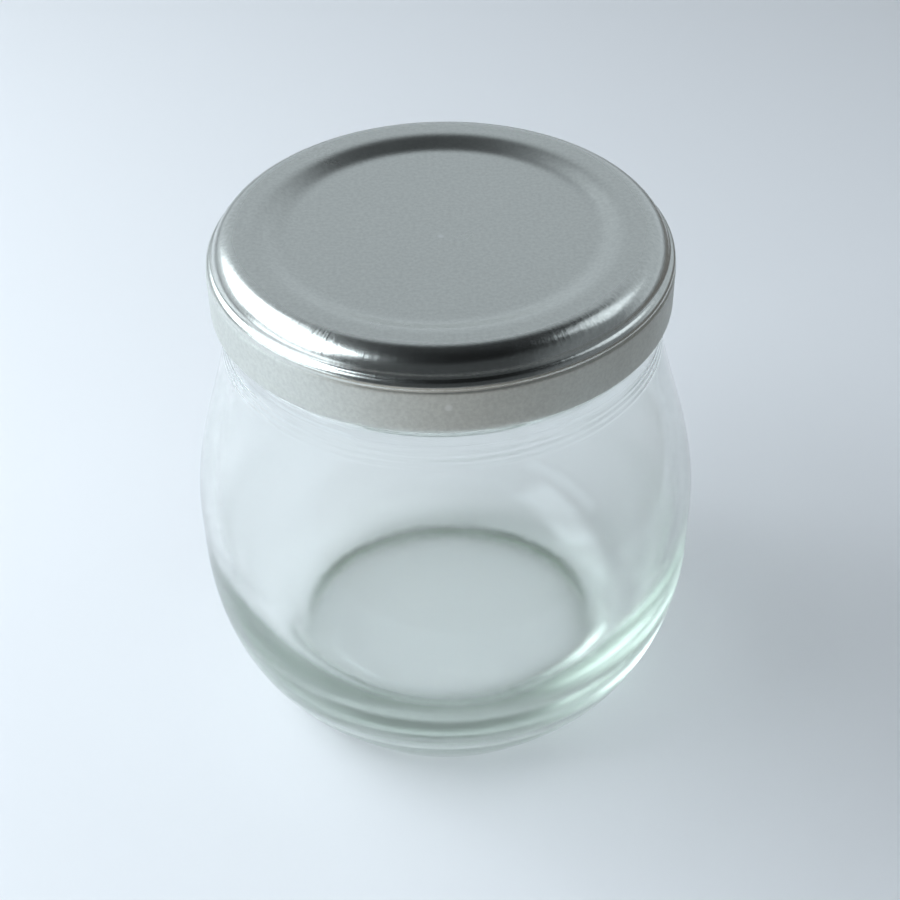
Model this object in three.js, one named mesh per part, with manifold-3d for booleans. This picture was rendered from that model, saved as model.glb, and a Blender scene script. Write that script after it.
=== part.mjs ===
// A squat, barrel-shaped jar of clear glass with its twist-off lid of thin pressed metal.
// Units are millimetres. +Z is up, the jar's axis is Z, and z = 0 is the surface it stands on.
import * as THREE from "three";
import * as BufferGeometryUtils from "three/addons/utils/BufferGeometryUtils.js";
import Module from "manifold-3d";

const wasm = await Module();
wasm.setup();

// Whole object
const totalHeight = 76.4;
const sides = 48; // flats round the axis, shared by the jar and the lid
const fitGap = 0.4; // least clearance between the lid and the glass

// Lid, its heights counted down from the highest ring
const lidRadius = 30.75;
const lidHeight = 10.5;
const sheet = 0.3;
const panelDepth = 1.1;
const panelRadius = 20.8;
const panelBevel = 0.5; // width of the soft edge at the foot and the top of the panel's wall
const panelBevelDrop = 0.12;
const ringInnerRadius = 23.8;
const shoulderStart = 26.4; // radius where the flat ring rolls over into the shoulder
const shoulderRound = 3.6;
const shoulderSweep = 66; // degrees of the round before the groove
const grooveRadius = 29.8;
const grooveDrop = 2.5;
const rollRadius = 29.6; // middle of the small roll between the groove and the skirt
const rollDrop = 3.75;
const rollRound = 1.05;
const rollStart = 20; // degrees from straight up
const skirtDrop = 4.25;
const curlRadius = 0.75;
const lugReach = 2.0;
const lugAngle = 0.3; // radians at the skirt
const lugTipAngle = 0.22;
const lugPlace = 0.23; // radians from the low end of its thread
const lugThickness = 1.1;
const lugLift = 0.2; // above the lowest edge of the lid

// Barrel of the glass, outside
const bellyRadius = 35.8;
const bellyTop = 33;
const bellyBottom = 26;
const shoulderTop = 66;
const shoulderPull = 6.6; // how far the barrel draws in from the belly to the neck
const baseEllipse = 16.3; // how far the lower curve reaches in before it would close
const baseEllipseLow = 6; // height where the ellipse gives way to the straight run to the heel
const heelRound = 1.2;
const heelTilt = 41; // degrees that the heel faces down where its round starts
const footRadius = 24.8;
const footInnerRadius = 24;
const pushUpRadius = 15; // the raised middle of the base is flat up to here
const pushUpHeight = 1.7;
const pushUpCurve = 2; // power of the curve that brings it down to the foot ring

// Barrel of the glass, inside
const bellyWall = 2.3;
const shoulderWall = 2.8;
const innerShoulderTop = 61;
const innerBellyHeight = 30;
const floorHeight = 6.8;
const floorCrown = 0.5;
const floorRadius = 19.5;

// Neck
const neckRadius = 27;
const boreRadius = 24.2;
const boreBottom = 67.5;
const rimDrop = 0.8; // from the top of the lid down to the glass rim
const rimRound = 0.7;
const beadRadius = 29.4;
const beadRound = 0.5;
const beadTop = 64.7;
const beadBottom = 63.1;
const underBead = 0.5; // from the end of the barrel's curve up to the bead
const coveRadius = 0.4; // the small hollow above the bead, out from the neck and up from the bead
const coveLow = 0.6;
const coveHigh = 1.3;
const threads = 4;
const threadRadius = 1.3;
const threadAngle = 1.15;
const threadLow = 69;
const threadHigh = 72.5;

const smoothStep = (t) => t * t * (3 - 2 * t);

// Points on a round from angle a to angle b, in degrees, without the first one when skip is 1
function arc(centreR, centreZ, radiusR, radiusZ, a, b, steps, skip = 0) {
  const points = [];
  for (let i = skip; i <= steps; i++) {
    const t = THREE.MathUtils.degToRad(a + ((b - a) * i) / steps);
    points.push(new THREE.Vector2(centreR + radiusR * Math.cos(t), centreZ + radiusZ * Math.sin(t)));
  }
  return points;
}

const at = (r, z) => new THREE.Vector2(r, z);

// Outside radius of the barrel above the belly
function upperRadius(z) {
  const t = THREE.MathUtils.clamp((z - bellyTop) / (shoulderTop - bellyTop), 0, 1);
  return bellyRadius - shoulderPull * smoothStep(t);
}

// A profile of (r, z) points turned round the Z axis
function turned(points) {
  const lathe = new THREE.LatheGeometry(points, sides);
  lathe.rotateX(Math.PI / 2);
  return lathe;
}

// A closed geometry as a solid that can be joined to another
function solid(geometry) {
  const bare = geometry.clone();
  bare.deleteAttribute("normal");
  bare.deleteAttribute("uv");
  const merged = BufferGeometryUtils.mergeVertices(bare, 1e-4);
  const mesh = new wasm.Mesh({
    numProp: 3,
    vertProperties: new Float32Array(merged.attributes.position.array),
    triVerts: new Uint32Array(merged.index.array),
  });
  return new wasm.Manifold(mesh);
}

function geometryOf(body) {
  const mesh = body.getMesh();
  const geometry = new THREE.BufferGeometry();
  geometry.setAttribute("position", new THREE.BufferAttribute(new Float32Array(mesh.vertProperties), 3));
  geometry.setIndex(new THREE.BufferAttribute(new Uint32Array(mesh.triVerts), 1));
  geometry.computeVertexNormals();
  return geometry;
}

// One turn-on thread: a round ridge that climbs the neck right-handed, with rounded ends
class ThreadPath extends THREE.Curve {
  constructor(startAngle) {
    super();
    this.startAngle = startAngle;
  }

  getPoint(t, target = new THREE.Vector3()) {
    const angle = this.startAngle + threadAngle * t;
    const z = THREE.MathUtils.lerp(threadLow, threadHigh, t);
    return target.set(neckRadius * Math.cos(angle), neckRadius * Math.sin(angle), z);
  }
}

function threadSolids(index) {
  const path = new ThreadPath((index * 2 * Math.PI) / threads);
  const section = new THREE.Shape();
  section.absarc(0, 0, threadRadius, 0, 2 * Math.PI);
  const ridge = new THREE.ExtrudeGeometry(section, { steps: 8, curveSegments: 4, extrudePath: path });
  const ends = [0, 1].map((t) => {
    const end = new THREE.SphereGeometry(threadRadius, 8, 6);
    const centre = path.getPoint(t);
    end.translate(centre.x, centre.y, centre.z);
    return end;
  });
  return [ridge, ...ends].map(solid);
}

function glassProfile() {
  const rimTop = totalHeight - rimDrop;
  const ellipseCentre = bellyRadius - baseEllipse;
  const ellipseEnd = -THREE.MathUtils.radToDeg(Math.asin((bellyBottom - baseEllipseLow) / bellyBottom));
  const points = [at(0, pushUpHeight)];
  const pushUpSteps = 6;
  for (let i = 0; i <= pushUpSteps; i++) {
    const t = i / pushUpSteps;
    const r = THREE.MathUtils.lerp(pushUpRadius, footInnerRadius, t);
    points.push(at(r, pushUpHeight * (1 - t ** pushUpCurve)));
  }
  points.push(...arc(footRadius, heelRound, heelRound, heelRound, -90, -heelTilt, 4));
  points.push(...arc(ellipseCentre, bellyBottom, baseEllipse, bellyBottom, ellipseEnd, 0, 8));
  const upperSteps = 8;
  for (let i = 0; i <= upperSteps; i++) {
    const z = THREE.MathUtils.lerp(bellyTop, beadBottom - underBead, i / upperSteps);
    points.push(at(upperRadius(z), z));
  }
  points.push(at(beadRadius, beadBottom), at(beadRadius, beadTop - beadRound));
  points.push(at(beadRadius - beadRound, beadTop));
  points.push(at(neckRadius + coveRadius, beadTop + coveLow), at(neckRadius, beadTop + coveHigh));
  points.push(at(neckRadius, rimTop - rimRound));
  points.push(...arc(neckRadius - rimRound, rimTop - rimRound, rimRound, rimRound, 0, 90, 2, 1));
  points.push(...arc(boreRadius + rimRound, rimTop - rimRound, rimRound, rimRound, 90, 180, 2));
  points.push(...innerWall());
  return points;
}

// The inside, from the foot of the bore down to the middle of the floor
function innerWall() {
  const points = [];
  const throatSteps = 3;
  const throatRadius = upperRadius(innerShoulderTop) - shoulderWall;
  for (let i = 0; i < throatSteps; i++) {
    const t = i / throatSteps;
    const r = THREE.MathUtils.lerp(boreRadius, throatRadius, smoothStep(t));
    points.push(at(r, THREE.MathUtils.lerp(boreBottom, innerShoulderTop, t)));
  }
  const wallSteps = 7;
  for (let i = 0; i <= wallSteps; i++) {
    const t = i / wallSteps;
    const z = THREE.MathUtils.lerp(innerShoulderTop, innerBellyHeight, t);
    points.push(at(upperRadius(z) - THREE.MathUtils.lerp(shoulderWall, bellyWall, t), z));
  }
  const roundReach = bellyRadius - bellyWall - floorRadius;
  const roundHeight = innerBellyHeight - floorHeight;
  points.push(...arc(floorRadius, innerBellyHeight, roundReach, roundHeight, 0, -90, 9, 1));
  for (const share of [0.5, 0]) {
    points.push(at(floorRadius * share, floorHeight + floorCrown * (1 - share ** 2)));
  }
  return points;
}

function glassGeometry() {
  let body = solid(turned(glassProfile()));
  for (let index = 0; index < threads; index++) {
    for (const piece of threadSolids(index)) {
      body = body.add(piece);
    }
  }
  return geometryOf(body);
}

// Points over a round edge of the lid, with the angles in degrees from straight up
function overRound(centreR, centreDepth, radius, a, b, steps) {
  return arc(centreR, -centreDepth, radius, radius, 90 - a, 90 - b, steps).map(({ x, y }) => [x, -y]);
}

// The outer face of the lid from its centre to the top of the skirt, as (r, depth below the top)
function lidFace() {
  return [
    [0, panelDepth],
    [panelRadius, panelDepth],
    [panelRadius + panelBevel, panelDepth - panelBevelDrop],
    [ringInnerRadius - panelBevel, panelBevelDrop],
    [ringInnerRadius, 0],
    ...overRound(shoulderStart, shoulderRound, shoulderRound, 0, shoulderSweep, 5),
    [grooveRadius, grooveDrop],
    ...overRound(rollRadius, rollDrop, rollRound, rollStart, 90, 3),
    [lidRadius, skirtDrop],
  ];
}

// The inner face lies one sheet thickness inside the outer one
function insideOf(face) {
  return face.map(([r, depth], index) => {
    const before = face[Math.max(0, index - 1)];
    const after = face[Math.min(face.length - 1, index + 1)];
    const way = new THREE.Vector2(after[0] - before[0], after[1] - before[1]).normalize();
    const shift = r === 0 ? 0 : way.y * sheet;
    return [r - shift, depth + way.x * sheet];
  });
}

function lidProfile() {
  const top = totalHeight;
  const curlZ = top - lidHeight + curlRadius;
  const curlR = lidRadius - curlRadius;
  const face = lidFace();
  const inner = insideOf(face).map(([r, depth]) => at(r, top - depth));
  const outer = face.map(([r, depth]) => at(r, top - depth)).reverse();
  const joinAngle = THREE.MathUtils.radToDeg(Math.acos((curlRadius - sheet) / curlRadius));
  const curl = arc(curlR, curlZ, curlRadius, curlRadius, joinAngle, 360, 8);
  return [...inner, ...curl, ...outer];
}

// One of the lugs on the curl, caught under the low end of its thread
function lugSolid(index) {
  const inner = lidRadius - 2 * curlRadius + fitGap - lugReach;
  const outer = lidRadius - curlRadius;
  const middle = (index * 2 * Math.PI) / threads + lugPlace;
  const outline = new THREE.Shape();
  outline.absarc(0, 0, outer, middle - lugAngle / 2, middle + lugAngle / 2, false);
  outline.absarc(0, 0, inner, middle + lugTipAngle / 2, middle - lugTipAngle / 2, true);
  outline.closePath();
  const shape = { depth: lugThickness, bevelEnabled: false, curveSegments: 3 };
  const lug = new THREE.ExtrudeGeometry(outline, shape);
  lug.translate(0, 0, totalHeight - lidHeight + lugLift);
  return solid(lug);
}

function lidGeometry() {
  let body = solid(turned(lidProfile()));
  for (let index = 0; index < threads; index++) {
    body = body.add(lugSolid(index));
  }
  return geometryOf(body);
}

const glass = new THREE.MeshStandardMaterial({
  color: 0xe3ece6,
  roughness: 0.03,
  metalness: 0,
  transparent: true,
  opacity: 0.35,
});
const pressedMetal = new THREE.MeshStandardMaterial({ color: 0xa9b0ad, roughness: 0.32, metalness: 1 });

const jar = new THREE.Group();
const glassJar = new THREE.Mesh(glassGeometry(), glass);
glassJar.name = "glass_jar";
const lid = new THREE.Mesh(lidGeometry(), pressedMetal);
lid.name = "lid";
jar.add(glassJar, lid);

export default jar;
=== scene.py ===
import math

import bmesh
import bpy
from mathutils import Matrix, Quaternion, Vector


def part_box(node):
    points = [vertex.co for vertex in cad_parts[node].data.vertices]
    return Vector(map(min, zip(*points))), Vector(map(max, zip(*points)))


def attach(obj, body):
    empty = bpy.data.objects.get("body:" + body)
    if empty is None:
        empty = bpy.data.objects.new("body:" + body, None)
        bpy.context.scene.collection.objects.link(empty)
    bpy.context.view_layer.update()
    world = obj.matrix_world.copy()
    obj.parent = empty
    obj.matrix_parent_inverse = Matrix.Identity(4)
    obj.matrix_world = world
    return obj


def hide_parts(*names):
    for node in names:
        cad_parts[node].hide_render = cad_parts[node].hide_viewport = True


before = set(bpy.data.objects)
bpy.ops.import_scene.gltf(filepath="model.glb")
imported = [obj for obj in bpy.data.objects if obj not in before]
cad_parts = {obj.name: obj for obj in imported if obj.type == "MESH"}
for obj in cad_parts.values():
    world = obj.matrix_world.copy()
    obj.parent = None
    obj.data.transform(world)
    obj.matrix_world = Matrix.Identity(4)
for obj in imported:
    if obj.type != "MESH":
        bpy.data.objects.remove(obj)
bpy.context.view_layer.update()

mm = 0.001
fullTurn = 2 * math.pi
lowJar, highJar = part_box("glass_jar")
lowLid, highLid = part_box("lid")
lidTop = highLid.z / mm  # 76.4, all sizes below in millimetres
lidRadius = highLid.x / mm
bellyRadius = highJar.x / mm
rimTop = highJar.z / mm
print("frame loaded, lid top at", round(lidTop, 2), "mm")


# Camera

cameraSettings = {
    "lens": 64.0,
    "sensor": 36.0,
    "clip": (0.005, 20.0),  # metres
    "back": 178.3,  # from the jar's axis towards the viewer
    "above": 110.25,  # over the top of the lid
    "pitch": 39.807,
    "pan": 0.234,
    "roll": -1.119,
}


def addCamera(settings):
    pitch, pan, roll = (math.radians(settings[k]) for k in ("pitch", "pan", "roll"))
    look = Vector((math.sin(pan) * math.cos(pitch), math.cos(pan) * math.cos(pitch), -math.sin(pitch)))
    data = bpy.data.cameras.new("viewCamera")
    data.lens = settings["lens"]
    data.sensor_width = settings["sensor"]
    data.clip_start, data.clip_end = settings["clip"]
    camera = bpy.data.objects.new("viewCamera", data)
    camera.location = Vector((0, -settings["back"], lidTop + settings["above"])) * mm
    camera.rotation_mode = "QUATERNION"
    camera.rotation_quaternion = look.to_track_quat("-Z", "Y") @ Quaternion((0, 0, 1), roll)
    bpy.context.scene.collection.objects.link(camera)
    bpy.context.scene.camera = camera


addCamera(cameraSettings)
print("camera placed")


# Turned shapes

def smoothStep(t):
    t = min(1.0, max(0.0, t))
    return t * t * (3 - 2 * t)


def mix(a, b, t):
    return a + (b - a) * t


def bump(x, middle, width):
    return math.exp(-(((x - middle) / width) ** 2))


def arcPoints(centre, reach, fromAngle, toAngle, steps):
    points = []
    for i in range(steps + 1):
        a = math.radians(mix(fromAngle, toAngle, i / steps))
        points.append((centre[0] + reach[0] * math.cos(a), centre[1] + reach[1] * math.sin(a)))
    return points


# corners holds (r, z, radius)
def roundedPath(corners, steps=6):
    points = []
    for i, (r, z, radius) in enumerate(corners):
        here = Vector((r, z))
        if radius == 0 or i in (0, len(corners) - 1):
            points.append((r, z))
            continue
        back = Vector(corners[i - 1][:2]) - here
        ahead = Vector(corners[i + 1][:2]) - here
        half = back.angle(ahead) / 2
        run = min(radius / math.tan(half), back.length * 0.49, ahead.length * 0.49)
        start = here + back.normalized() * run
        end = here + ahead.normalized() * run
        for k in range(steps + 1):
            t = k / steps
            p = start * (1 - t) ** 2 + here * 2 * t * (1 - t) + end * t * t
            points.append((p.x, p.y))
    return points


# the same line with a point at least every gap
def spreadOut(points, gap):
    spread = [points[0]]
    for a, b in zip(points, points[1:]):
        run = math.hypot(b[0] - a[0], b[1] - a[1])
        if run < 1e-5:
            continue
        parts = max(1, math.ceil(run / gap))
        spread += [(mix(a[0], b[0], k / parts), mix(a[1], b[1], k / parts)) for k in range(1, parts + 1)]
    return spread


# takes the corners off a line and leaves its ends
def eased(points, rounds):
    for _ in range(rounds):
        middle = [
            ((a[0] + 2 * b[0] + c[0]) / 4, (a[1] + 2 * b[1] + c[1]) / 4)
            for a, b, c in zip(points, points[1:], points[2:])
        ]
        points = [points[0]] + middle + [points[-1]]
    return points


def pieceFrom(mesh, name):
    data = bpy.data.meshes.new(name)
    mesh.to_mesh(data)
    mesh.free()
    piece = bpy.data.objects.new(name, data)
    bpy.context.scene.collection.objects.link(piece)
    return piece


# profile starts and ends on the axis, relief moves a point out or in by dr
def turnedPiece(name, profile, around, relief):
    mesh = bmesh.new()
    rings = []
    for r, z in profile:
        if r < 1e-4:
            rings.append([mesh.verts.new(Vector((0, 0, z)) * mm)])
            continue
        ring = []
        for k in range(around):
            angle = fullTurn * k / around
            reach = r + relief(angle, r, z)
            point = Vector((reach * math.cos(angle), reach * math.sin(angle), z))
            ring.append(mesh.verts.new(point * mm))
        rings.append(ring)
    for low, high in zip(rings, rings[1:]):
        for k in range(around):
            n = (k + 1) % around
            if len(low) == 1:
                mesh.faces.new((low[0], high[n], high[k]))
            elif len(high) == 1:
                mesh.faces.new((low[k], low[n], high[0]))
            else:
                mesh.faces.new((low[k], low[n], high[n], high[k]))
    bmesh.ops.recalc_face_normals(mesh, faces=mesh.faces)
    piece = pieceFrom(mesh, name)
    for face in piece.data.polygons:
        face.use_smooth = True
    return piece


# Glass jar

glass = {
    "bellyTop": 33.0,
    "bellyBottom": 26.0,
    "shoulderTop": 66.0,
    "shoulderPull": 6.6,
    "baseEllipse": 16.3,
    "baseEllipseLow": 6.0,
    "heelRound": 1.2,
    "heelTilt": 41.0,
    "footRadius": 24.8,
    "footInnerRadius": 24.0,
    "pushUpRadius": 15.0,
    "pushUpHeight": 1.7,
    "pushUpCurve": 2,
    "bellyWall": 2.3,
    "shoulderWall": 2.8,
    "innerShoulderTop": 61.0,
    "innerBellyHeight": 30.0,
    "floorHeight": 6.8,
    "floorCrown": 0.5,
    "floorRadius": 19.5,
    "neckRadius": 27.0,
    "boreRadius": 24.2,
    "boreBottom": 67.5,
    "rimRound": 0.7,
    "beadRadius": 29.4,
    "beadTop": 64.7,
    "beadBottom": 63.1,
    "beadRounds": (0.3, 0.7, 0.9),  # bottom edge, top edge, and where the neck rises from it
    "ringHeights": (61.7, 60.8, 59.9),
    "ringRise": 0.05,
    "ringWidth": 0.26,
    "threads": 4,
    "threadRadius": 1.3,
    "threadAngle": 1.15,
    "threadLow": 69.0,
    "threadHigh": 72.5,
    "threadSpread": 0.72,  # half a thread's width, as a share of its radius
    "threadEnd": (0.08, 0.12),  # how far a thread runs over its ends, and fades, as a share of its length
    "waveDepth": 0.03,
    "gap": 0.6,  # between rings
    "footGap": 0.5,
    "neckGap": 0.4,
    "ringGap": 0.1,
    "easing": 14,  # rounds of smoothing
    "around": 180,
}


def barrelRadius(z):
    g = glass
    t = (z - g["bellyTop"]) / (g["shoulderTop"] - g["bellyTop"])
    return bellyRadius - g["shoulderPull"] * smoothStep(t)


def glassOutside():
    g = glass
    foot = [(0, g["pushUpHeight"])]
    steps = 16
    for i in range(steps + 1):
        t = i / steps
        r = mix(g["pushUpRadius"], g["footInnerRadius"], t)
        foot.append((r, g["pushUpHeight"] * (1 - t ** g["pushUpCurve"])))
    foot = eased(spreadOut(foot, g["footGap"]), 6)
    heel = arcPoints((g["footRadius"], g["heelRound"]), (g["heelRound"],) * 2, -90, -g["heelTilt"], 12)
    low = g["bellyBottom"]
    lowest = -math.degrees(math.asin((low - g["baseEllipseLow"]) / low))
    reach = (g["baseEllipse"], low)
    curve = arcPoints((bellyRadius - g["baseEllipse"], low), reach, lowest, 0, 50)
    steps = 60
    barrel = []
    for i in range(steps + 1):
        z = mix(g["bellyTop"], g["beadBottom"] - 0.5, i / steps)
        barrel.append((barrelRadius(z), z))
    body = eased(spreadOut(heel + curve + barrel, g["gap"]), g["easing"])
    ringFoot = min(g["ringHeights"]) - 1
    ringed = [point for point in body if point[1] > ringFoot]
    body = [point for point in body if point[1] <= ringFoot] + spreadOut(ringed, g["ringGap"])
    lower, upper, above = g["beadRounds"]
    neck = roundedPath(
        [
            (*body[-1], 0),
            (g["beadRadius"], g["beadBottom"], lower),
            (g["beadRadius"], g["beadTop"] - 0.1, upper),
            (g["neckRadius"], g["beadTop"] + above, above),
            (g["neckRadius"], rimTop, g["rimRound"]),
            (g["boreRadius"], rimTop, g["rimRound"]),
            (g["boreRadius"], g["boreBottom"], 0),
        ]
    )
    return foot + body + spreadOut(neck, g["neckGap"])[1:]


def glassInside():
    g = glass
    throat = barrelRadius(g["innerShoulderTop"]) - g["shoulderWall"]
    steps = 12
    upper = []
    for i in range(steps):
        t = i / steps
        z = mix(g["boreBottom"], g["innerShoulderTop"], t)
        upper.append((mix(g["boreRadius"], throat, smoothStep(t)), z))
    steps = 50
    for i in range(steps + 1):
        t = i / steps
        z = mix(g["innerShoulderTop"], g["innerBellyHeight"], t)
        upper.append((barrelRadius(z) - mix(g["shoulderWall"], g["bellyWall"], t), z))
    reach = bellyRadius - g["bellyWall"] - g["floorRadius"], g["innerBellyHeight"] - g["floorHeight"]
    low = arcPoints((g["floorRadius"], g["innerBellyHeight"]), reach, 0, -90, 50)
    # a shallow dome, three quarters of its height by half of its radius
    floor = [
        (g["floorRadius"] * 0.5, g["floorHeight"] + g["floorCrown"] * 0.75),
        (0, g["floorHeight"] + g["floorCrown"]),
    ]
    return eased(spreadOut(upper + low + floor, g["gap"]), g["easing"])


def glassRelief(angle, r, z):
    g = glass
    dr = 0
    over, fadeRun = g["threadEnd"]
    # on the neck the threads, and below the bead the rings and the hollows
    if r > g["neckRadius"] - 0.5 and z > g["beadTop"] + 1.2:
        for i in range(g["threads"]):
            t = ((angle - i * fullTurn / g["threads"]) % fullTurn) / g["threadAngle"]
            t = t if t < 3 else t - fullTurn / g["threadAngle"]  # the stretch just before a thread's start
            fade = smoothStep((t + over) / fadeRun) * smoothStep((1 + over - t) / fadeRun)
            middle = mix(g["threadLow"], g["threadHigh"], t)
            dr += g["threadRadius"] * fade * bump(z, middle, g["threadRadius"] * g["threadSpread"])
    if r > g["neckRadius"] and z < g["beadBottom"]:
        dr += sum(g["ringRise"] * bump(z, height, g["ringWidth"]) for height in g["ringHeights"])
        wave = math.sin(2 * angle + 0.7) * math.sin(z / 9) + math.sin(3 * angle + z / 14)
        dr -= g["waveDepth"] * (1 + wave / 2) * smoothStep((z - 3) / 8)
    return dr


def makeGlass():
    profile = glassOutside() + glassInside()[1:]
    return turnedPiece("jarGlass", profile, glass["around"], glassRelief)


jarGlass = makeGlass()
print("glass turned,", len(jarGlass.data.vertices), "points")


# Lid

lid = {
    "sheet": 0.3,
    "panelDepth": 1.1,
    "panelRadius": 20.8,
    "panelBend": 5.0,
    "ringInnerRadius": 23.8,
    "shoulderStart": 26.4,
    "shoulderRound": 3.6,
    "shoulderSweep": 66.0,
    "grooveRadius": 29.8,
    "grooveDrop": 2.5,
    "beadMiddle": (29.6, 3.75),  # radius, and drop below the top
    "beadRound": 1.05,
    "beadStart": 20.0,
    "skirtDrop": 4.25,
    "ledge": 0.16,
    "curlRadius": 0.75,
    "lugReach": 1.6,
    "lugAngle": 0.3,
    "lugPlace": 0.2,  # share of a thread's length from its low end
    "lugEdge": 0.04,
    "gap": 0.15,  # between rings
    "panelGap": 1.0,
    "around": 256,
}


# from the middle of the panel to the top of the skirt
def lidOutside():
    s = lid
    panel = [
        (0, s["panelDepth"], 0),
        (s["panelRadius"], s["panelDepth"], s["panelBend"]),
        (s["ringInnerRadius"], 0, s["panelBend"]),
        (s["shoulderStart"], 0, 0),
    ]
    line = roundedPath(panel, 8)
    fillet = s["shoulderRound"]
    line += arcPoints((s["shoulderStart"], fillet), (fillet, -fillet), 90, 90 - s["shoulderSweep"], 24)
    line.append((s["grooveRadius"], s["grooveDrop"]))
    bead = s["beadRound"]
    line += arcPoints(s["beadMiddle"], (bead, -bead), 90 - s["beadStart"], 0, 14)
    line.append((lidRadius - s["ledge"], s["skirtDrop"] - 0.2))
    line += [(lidRadius, s["skirtDrop"]), (lidRadius, s["skirtDrop"] + 1.0)]
    line = spreadOut(line[:2], s["panelGap"]) + spreadOut(line[1:], s["gap"])[1:]
    return [(r, lidTop - depth) for r, depth in eased(line, 3)]


def insideLine(points, thickness):
    inner = []
    for i, (r, z) in enumerate(points):
        a, b = points[max(0, i - 1)], points[min(len(points) - 1, i + 1)]
        way = Vector((b[0] - a[0], b[1] - a[1])).normalized()
        inner.append((max(0, r + way.y * thickness), z - way.x * thickness) if r > 0 else (0, z - thickness))
    return inner


def lidProfile():
    s = lid
    outer = lidOutside()
    inner = insideLine(outer, s["sheet"])
    curlHeight = lowLid.z / mm + s["curlRadius"]
    join = math.degrees(math.acos((s["curlRadius"] - s["sheet"]) / s["curlRadius"]))
    curl = arcPoints((lidRadius - s["curlRadius"], curlHeight), (s["curlRadius"],) * 2, join, 360, 22)
    skirtIn = spreadOut([inner[-1], curl[0]], 0.5)[1:-1]
    skirtOut = spreadOut([curl[-1], outer[-1]], 0.5)[1:-1]
    return inner + skirtIn + curl + skirtOut + outer[::-1]


def lidRelief(angle, r, z):
    s = lid
    low = lowLid.z / mm
    dr = 0
    if z < low + 2 * s["curlRadius"] and r < lidRadius - s["curlRadius"]:
        inward = (lidRadius - s["curlRadius"] - r) / s["curlRadius"]
        for i in range(glass["threads"]):
            middle = i * fullTurn / glass["threads"] + glass["threadAngle"] * s["lugPlace"]
            off = (angle - middle + math.pi) % fullTurn - math.pi
            within = s["lugAngle"] / 2 + s["lugEdge"] - abs(off)
            dr -= s["lugReach"] * inward * smoothStep(within / (2 * s["lugEdge"]))
    return dr


jarLid = turnedPiece("jarLid", lidProfile(), lid["around"], lidRelief)
print("lid pressed,", len(jarLid.data.vertices), "points")


# Shader groups

def newGroup(name, inputs, outputs):
    group = bpy.data.node_groups.new(name, "ShaderNodeTree")
    for label, kind, value in inputs:
        socket = group.interface.new_socket(name=label, in_out="INPUT", socket_type=kind)
        if value is not None:
            socket.default_value = value
    for label, kind in outputs:
        group.interface.new_socket(name=label, in_out="OUTPUT", socket_type=kind)
    return group, group.nodes.new("NodeGroupInput"), group.nodes.new("NodeGroupOutput")


def addNode(tree, kind, settings=None, **values):
    node = tree.nodes.new(kind)
    for key, value in (settings or {}).items():
        setattr(node, key, value)
    for key, value in values.items():
        node.inputs[key.replace("_", " ")].default_value = value
    return node


# faint clouds, fine grain and a few small marks
def makeSpeckGroup():
    group, given, out = newGroup(
        "surfaceSpecks",
        [
            ("Cloud Size", "NodeSocketFloat", 60.0),
            ("Grain Size", "NodeSocketFloat", 900.0),
            ("Mark Size", "NodeSocketFloat", 160.0),
            ("Mark Share", "NodeSocketFloat", 0.05),
        ],
        [("Cloud", "NodeSocketFloat"), ("Grain", "NodeSocketFloat"), ("Marks", "NodeSocketFloat")],
    )
    link = group.links.new
    place = addNode(group, "ShaderNodeTexCoord")
    cloud = addNode(group, "ShaderNodeTexNoise", Detail=4.0, Roughness=0.55)
    grain = addNode(group, "ShaderNodeTexNoise", Detail=3.0, Roughness=0.6)
    cell = addNode(group, "ShaderNodeTexVoronoi", {"feature": "F1"}, Randomness=1.0)
    for node, size in ((cloud, "Cloud Size"), (grain, "Grain Size"), (cell, "Mark Size")):
        link(place.outputs["Object"], node.inputs["Vector"])
        link(given.outputs[size], node.inputs["Scale"])
    markRim, markCore = 0.14, 0.05  # of a cell's width
    near = addNode(group, "ShaderNodeMapRange", {"interpolation_type": "SMOOTHSTEP"})
    near.inputs["From Min"].default_value = markRim
    near.inputs["From Max"].default_value = markCore
    link(cell.outputs["Distance"], near.inputs["Value"])
    pick = addNode(group, "ShaderNodeSeparateColor")
    link(cell.outputs["Color"], pick.inputs["Color"])
    rare = addNode(group, "ShaderNodeMath", {"operation": "LESS_THAN"})
    link(pick.outputs["Red"], rare.inputs[0])
    link(given.outputs["Mark Share"], rare.inputs[1])
    marks = addNode(group, "ShaderNodeMath", {"operation": "MULTIPLY"})
    link(near.outputs["Result"], marks.inputs[0])
    link(rare.outputs["Value"], marks.inputs[1])
    link(cloud.outputs["Fac"], out.inputs["Cloud"])
    link(grain.outputs["Fac"], out.inputs["Grain"])
    link(marks.outputs["Value"], out.inputs["Marks"])
    return group


specks = makeSpeckGroup()


def newMaterial(name):
    material = bpy.data.materials.new(name)
    material.use_nodes = True
    return material, material.node_tree.nodes["Principled BSDF"]


def placeGroup(tree, group, **values):
    node = tree.nodes.new("ShaderNodeGroup")
    node.node_tree = group
    for key, value in values.items():
        node.inputs[key.replace("_", " ")].default_value = value
    return node


# maps a noise onto the range from low to high
def spreadOver(tree, source, low, high, fromLow=0.3, fromHigh=0.7):
    node = addNode(tree, "ShaderNodeMapRange")
    ends = {"From Min": fromLow, "From Max": fromHigh, "To Min": low, "To Max": high}
    for label, value in ends.items():
        node.inputs[label].default_value = value
    tree.links.new(source, node.inputs["Value"])
    return node.outputs["Result"]


glassLook = {
    "surface": (0.98, 0.985, 0.98, 1),
    "tint": (0.64, 0.76, 0.655, 1),
    "density": 16.0,
    "ior": 1.5,
    "cloudSize": 70.0,
    "roughLow": 0.07,
    "roughHigh": 0.12,
    "wave": 0.02,
    "waveRise": 0.002,
}


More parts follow.
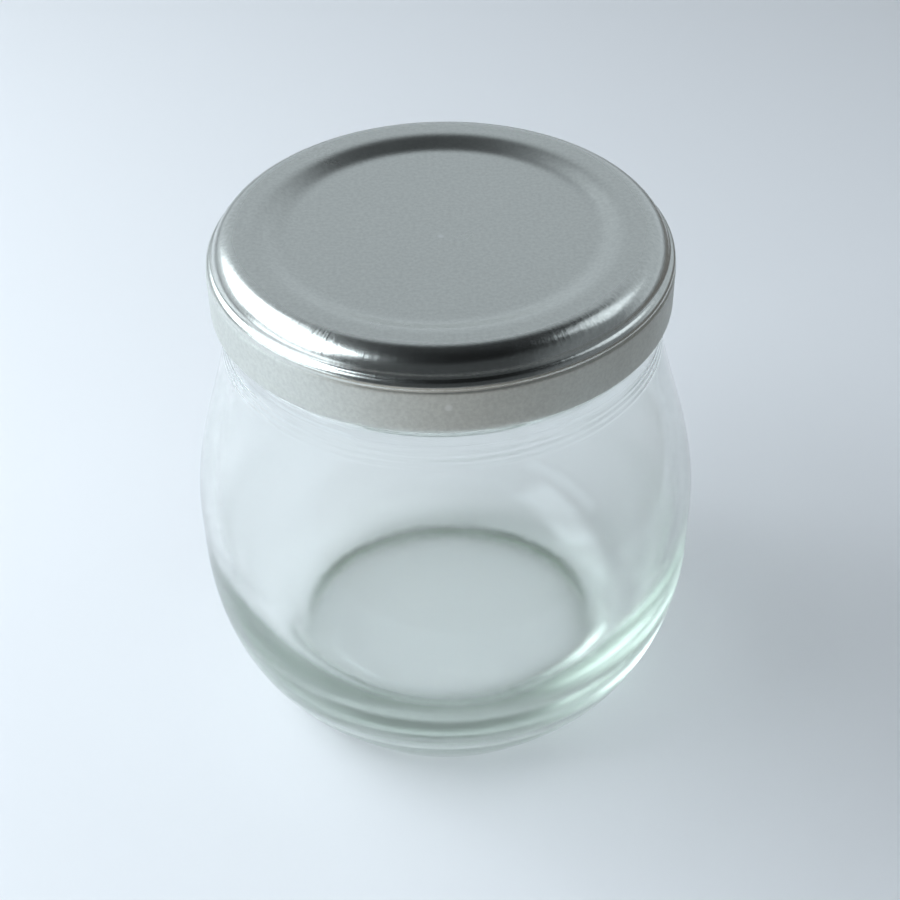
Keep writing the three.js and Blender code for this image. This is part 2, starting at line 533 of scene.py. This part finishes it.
def makeGlassMaterial():
    look = glassLook
    material, shader = newMaterial("clearGlass")
    tree = material.node_tree
    link = tree.links.new
    shader.inputs["Base Color"].default_value = look["surface"]
    shader.inputs["IOR"].default_value = look["ior"]
    shader.inputs["Transmission Weight"].default_value = 1
    surface = placeGroup(tree, specks, Cloud_Size=look["cloudSize"])
    haze = spreadOver(tree, surface.outputs["Cloud"], look["roughLow"], look["roughHigh"])
    link(haze, shader.inputs["Roughness"])
    ripple = addNode(tree, "ShaderNodeBump", Strength=look["wave"], Distance=look["waveRise"])
    link(surface.outputs["Cloud"], ripple.inputs["Height"])
    link(ripple.outputs["Normal"], shader.inputs["Normal"])
    inside = addNode(tree, "ShaderNodeVolumeAbsorption", Color=look["tint"], Density=look["density"])
    link(inside.outputs["Volume"], tree.nodes["Material Output"].inputs["Volume"])
    return material


lidLook = {
    "colour": (0.665, 0.68, 0.64),
    "topRough": 0.29,
    "shoulderRough": 0.23,
    "skirtRough": 0.45,
    "cloudRough": 0.02,
    "creaseOut": 0.4,  # from the flat ring to where the shoulder's finish starts, in millimetres
    "creaseBlend": 0.6,
    "skirtBlend": (0.2, 0.3),  # below and above the top of the skirt
    "cloudSize": 90.0,
    "grainSize": 1900.0,
    "grainSpan": (0.35, 0.65),
    "grainShade": 0.06,
    "grainRise": (0.07, 0.0002),  # strength and height
    "rippleRise": (0.07, 0.0006),
    "ripplesRound": 16.0,  # per radian
    "markSize": 210.0,
    "markShare": 0.12,
    "markLight": 0.5,
    "markColour": (0.95, 0.96, 0.95),
    "liningColour": (0.78, 0.78, 0.74),
}


# 1 on the lid's inner faces, which carry the pale lining
def makeLiningMask(tree, place):
    link = tree.links.new
    outward = addNode(tree, "ShaderNodeVectorMath", {"operation": "DOT_PRODUCT"})
    link(place.outputs["Normal"], outward.inputs[0])
    link(place.outputs["Object"], outward.inputs[1])
    inner = addNode(tree, "ShaderNodeMath", {"operation": "LESS_THAN"})
    inner.inputs[1].default_value = 0
    link(outward.outputs["Value"], inner.inputs[0])
    return inner.outputs["Value"]


def makeLidMaterial():
    look = lidLook
    material, shader = newMaterial("lacqueredTin")
    tree = material.node_tree
    link = tree.links.new
    surface = placeGroup(tree, specks, Cloud_Size=look["cloudSize"], Grain_Size=look["grainSize"])
    surface.inputs["Mark Size"].default_value = look["markSize"]
    surface.inputs["Mark Share"].default_value = look["markShare"]
    place = addNode(tree, "ShaderNodeTexCoord")
    apart = addNode(tree, "ShaderNodeSeparateXYZ")
    link(place.outputs["Object"], apart.inputs["Vector"])
    flat = addNode(tree, "ShaderNodeCombineXYZ")
    link(apart.outputs["X"], flat.inputs["X"])
    link(apart.outputs["Y"], flat.inputs["Y"])
    reach = addNode(tree, "ShaderNodeVectorMath", {"operation": "LENGTH"})
    link(flat.outputs["Vector"], reach.inputs[0])
    crease = lid["shoulderStart"] + look["creaseOut"]
    blend = look["creaseBlend"]
    onShoulder = spreadOver(tree, reach.outputs["Value"], 0, 1, (crease - blend) * mm, (crease + blend) * mm)
    skirt = lidTop - lid["skirtDrop"]
    below, above = look["skirtBlend"]
    onSkirt = spreadOver(tree, apart.outputs["Z"], 1, 0, (skirt - below) * mm, (skirt + above) * mm)

    edge = addNode(tree, "ShaderNodeMix", {"data_type": "FLOAT"}, A=look["topRough"], B=look["shoulderRough"])
    link(onShoulder, edge.inputs["Factor"])
    rough = addNode(tree, "ShaderNodeMix", {"data_type": "FLOAT"}, B=look["skirtRough"])
    link(onSkirt, rough.inputs["Factor"])
    link(edge.outputs["Result"], rough.inputs["A"])
    cloudy = addNode(tree, "ShaderNodeMath", {"operation": "ADD"})
    link(rough.outputs["Result"], cloudy.inputs[0])
    swing = look["cloudRough"]
    link(spreadOver(tree, surface.outputs["Cloud"], -swing, swing), cloudy.inputs[1])
    link(cloudy.outputs["Value"], shader.inputs["Roughness"])

    lining = makeLiningMask(tree, place)
    metal = addNode(tree, "ShaderNodeMath", {"operation": "SUBTRACT"})
    metal.inputs[0].default_value = 1
    link(lining, metal.inputs[1])
    link(metal.outputs["Value"], shader.inputs["Metallic"])

    tone = addNode(tree, "ShaderNodeMix", {"data_type": "RGBA"})
    tone.inputs["A"].default_value = (*(c * (1 - look["grainShade"]) for c in look["colour"]), 1)
    tone.inputs["B"].default_value = (*(c * (1 + look["grainShade"]) for c in look["colour"]), 1)
    link(spreadOver(tree, surface.outputs["Grain"], 0, 1, *look["grainSpan"]), tone.inputs["Factor"])
    marked = addNode(tree, "ShaderNodeMix", {"data_type": "RGBA", "clamp_result": True})
    marked.inputs["B"].default_value = (*look["markColour"], 1)
    scuff = addNode(tree, "ShaderNodeMath", {"operation": "MULTIPLY"})
    scuff.inputs[1].default_value = look["markLight"]
    link(surface.outputs["Marks"], scuff.inputs[0])
    link(scuff.outputs["Value"], marked.inputs["Factor"])
    link(tone.outputs["Result"], marked.inputs["A"])
    lined = addNode(tree, "ShaderNodeMix", {"data_type": "RGBA"})
    lined.inputs["B"].default_value = (*look["liningColour"], 1)
    link(lining, lined.inputs["Factor"])
    link(marked.outputs["Result"], lined.inputs["A"])
    link(lined.outputs["Result"], shader.inputs["Base Color"])

    # shallow ripples across the pressed shoulder
    around = addNode(tree, "ShaderNodeMath", {"operation": "ARCTAN2"})
    link(apart.outputs["Y"], around.inputs[0])
    link(apart.outputs["X"], around.inputs[1])
    path = addNode(tree, "ShaderNodeCombineXYZ")
    link(around.outputs["Value"], path.inputs["X"])
    ripple = addNode(tree, "ShaderNodeTexNoise", Scale=look["ripplesRound"], Detail=3.0, Roughness=0.7)
    link(path.outputs["Vector"], ripple.inputs["Vector"])
    pressed = addNode(tree, "ShaderNodeMath", {"operation": "MULTIPLY"})
    link(ripple.outputs["Fac"], pressed.inputs[0])
    link(onShoulder, pressed.inputs[1])
    strength, height = look["rippleRise"]
    wavy = addNode(tree, "ShaderNodeBump", Strength=strength, Distance=height)
    link(pressed.outputs["Value"], wavy.inputs["Height"])
    strength, height = look["grainRise"]
    relief = addNode(tree, "ShaderNodeBump", Strength=strength, Distance=height)
    link(surface.outputs["Grain"], relief.inputs["Height"])
    link(wavy.outputs["Normal"], relief.inputs["Normal"])
    link(relief.outputs["Normal"], shader.inputs["Normal"])
    return material


jarGlass.data.materials.append(makeGlassMaterial())
jarLid.data.materials.append(makeLidMaterial())
print("materials made")


# Floor and light

room = {
    "floorColour": (0.84, 0.84, 0.84),
    "floorRough": 0.7,
    "floorReach": 4.0,  # metres
    "floorGap": 0.00005,  # below the foot, so that light passes under the glass
    "paperFront": (-0.2, -0.07),  # past these the lid mirrors darker ground: front left, front right
    "paperSide": 0.12,  # and to the right of this
    "groundReach": 0.5,
    "groundHeight": 0.0002,
    "paintedReflectionColour": (1.0, 0.99, 0.97),
    "paintedLightFalloff": (0.56, 0.17),  # painted light falloff of the reflection sheet, from left to right
    "paintedFalloffSpan": (-0.12, 0.15),
    "lampAim": 0.035,  # height of the point that the lamps face
    "lampAway": 0.52,
    "lightColour": (0.83, 0.917, 1.0),
    "farGlow": 0.6,
    "horizonGlow": 1.3,  # times the rest of the wall
    "rightGlow": 0.24,
    "nearGlow": 0.065,
    "roofGlow": 0.04,
    # each glow changes over a span of the direction's X, Y or Z
    "farSpan": (-0.15, 0.35),
    "horizonSpan": (0, 0.25),
    "rightSpan": (0.4, 0.9),
    "roofSpan": (0.66, 0.84),
}
# turn is measured round from +X, rise up from the table, both in degrees
lamps = {
    "windowLamp": {"turn": 184, "rise": 41, "size": (0.48, 0.35), "power": 2.2},
    "curtainLamp": {"turn": 150, "rise": 38, "size": (0.28, 0.38), "power": 0.85},
    "sillLamp": {"turn": 200, "rise": 9, "size": (0.46, 0.12), "power": 0.42},
    "rightLamp": {"turn": 12, "rise": 47, "size": (0.21, 0.24), "power": 0.14},
    "roomLamp": {"turn": -105, "rise": 62, "size": (0.5, 0.5), "power": 0.72, "mirrored": False},
}


def makeFloor():
    mesh = bmesh.new()
    bmesh.ops.create_grid(mesh, x_segments=8, y_segments=8, size=room["floorReach"])
    bmesh.ops.translate(mesh, verts=mesh.verts, vec=(0, 0, -room["floorGap"]))
    table = pieceFrom(mesh, "tableTop")
    material, shader = newMaterial("paleTable")
    shader.inputs["Roughness"].default_value = room["floorRough"]
    shader.inputs["Base Color"].default_value = (*room["floorColour"], 1)
    table.data.materials.append(material)


# a glowing sheet seen only in reflections: a painted reflection of dimmer ground past where the pale paper
# ends
def makePaintedReflectionSheet():
    mesh = bmesh.new()
    frontLeft, frontRight = room["paperFront"]
    side, far = room["paperSide"], room["groundReach"]
    corners = [(-far, -far), (far, -far), (far, far), (side, far), (side, frontRight), (-far, frontLeft)]
    mesh.faces.new([mesh.verts.new((x, y, room["groundHeight"])) for x, y in corners])
    ground = pieceFrom(mesh, "paintedReflectionSheet")
    material, shader = newMaterial("paintedReflectionGlow")
    shader.inputs["Base Color"].default_value = (0, 0, 0, 1)
    shader.inputs["Specular IOR Level"].default_value = 0
    shader.inputs["Emission Color"].default_value = (*room["paintedReflectionColour"], 1)
    tree = material.node_tree
    place = addNode(tree, "ShaderNodeTexCoord")
    apart = addNode(tree, "ShaderNodeSeparateXYZ")
    tree.links.new(place.outputs["Object"], apart.inputs["Vector"])
    # painted light: the sheet glows brighter at left and fades to the right
    glow = spreadOver(tree, apart.outputs["X"], *room["paintedLightFalloff"], *room["paintedFalloffSpan"])
    tree.links.new(glow, shader.inputs["Emission Strength"])
    ground.data.materials.append(material)
    ground.visible_camera = False
    ground.visible_diffuse = False
    ground.visible_transmission = False
    ground.visible_shadow = False


def addSoftBox(name, lamp):
    turn, rise = math.radians(lamp["turn"]), math.radians(lamp["rise"])
    middle = Vector((0, 0, room["lampAim"]))
    way = Vector((math.cos(rise) * math.cos(turn), math.cos(rise) * math.sin(turn), math.sin(rise)))
    data = bpy.data.lights.new(name, "AREA")
    data.shape = "RECTANGLE"
    data.size, data.size_y = lamp["size"]
    data.energy = lamp["power"]
    data.color = room["lightColour"]
    box = bpy.data.objects.new(name, data)
    box.location = middle + way * room["lampAway"]
    box.rotation_euler = way.to_track_quat("Z", "Y").to_euler()
    box.visible_camera = False
    box.visible_glossy = lamp.get("mirrored", True)
    bpy.context.scene.collection.objects.link(box)


def makeWorld():
    world = bpy.data.worlds.new("softRoom")
    bpy.context.scene.world = world
    world.use_nodes = True
    tree = world.node_tree
    back = tree.nodes["Background"]
    link = tree.links.new
    place = addNode(tree, "ShaderNodeTexCoord")
    apart = addNode(tree, "ShaderNodeSeparateXYZ")
    link(place.outputs["Generated"], apart.inputs["Vector"])

    def ramp(axis, low, high, span):
        node = addNode(tree, "ShaderNodeMapRange", {"interpolation_type": "SMOOTHSTEP"})
        ends = {"From Min": span[0], "From Max": span[1], "To Min": low, "To Max": high}
        for label, value in ends.items():
            node.inputs[label].default_value = value
        link(apart.outputs[axis], node.inputs["Value"])
        return node.outputs["Result"]

    def join(kind, a, b):
        node = addNode(tree, "ShaderNodeMath", {"operation": kind})
        link(a, node.inputs[0])
        link(b, node.inputs[1])
        return node.outputs["Value"]

    wall = ramp("Y", room["nearGlow"], room["farGlow"], room["farSpan"])
    far = join("MULTIPLY", wall, ramp("Z", room["horizonGlow"], 1, room["horizonSpan"]))
    right = ramp("X", 0, room["rightGlow"], room["rightSpan"])
    walls = join("MAXIMUM", far, right)
    roof = ramp("Z", 1, room["roofGlow"], room["roofSpan"])
    link(join("MULTIPLY", walls, roof), back.inputs["Strength"])
    back.inputs["Color"].default_value = (*room["lightColour"], 1)


makeFloor()
makePaintedReflectionSheet()
for name, lamp in lamps.items():
    addSoftBox(name, lamp)
makeWorld()

scene = bpy.context.scene
scene.view_settings.view_transform = "Standard"
scene.cycles.max_bounces = 26
scene.cycles.transmission_bounces = 16
scene.cycles.glossy_bounces = 20  # light runs round inside the thick base
scene.cycles.diffuse_bounces = 3
scene.cycles.transparent_max_bounces = 8
scene.cycles.use_denoising = True
scene.cycles.use_light_tree = False  # faster with so few lamps
scene.cycles.blur_glossy = 0.0
print("room lit")


# Attach the pieces to the root and hide the loaded parts

for piece, node, slotName in ((jarGlass, "glass_jar", "clear_glass"), (jarLid, "lid", "lid_metal")):
    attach(piece, "root")
    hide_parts(node)
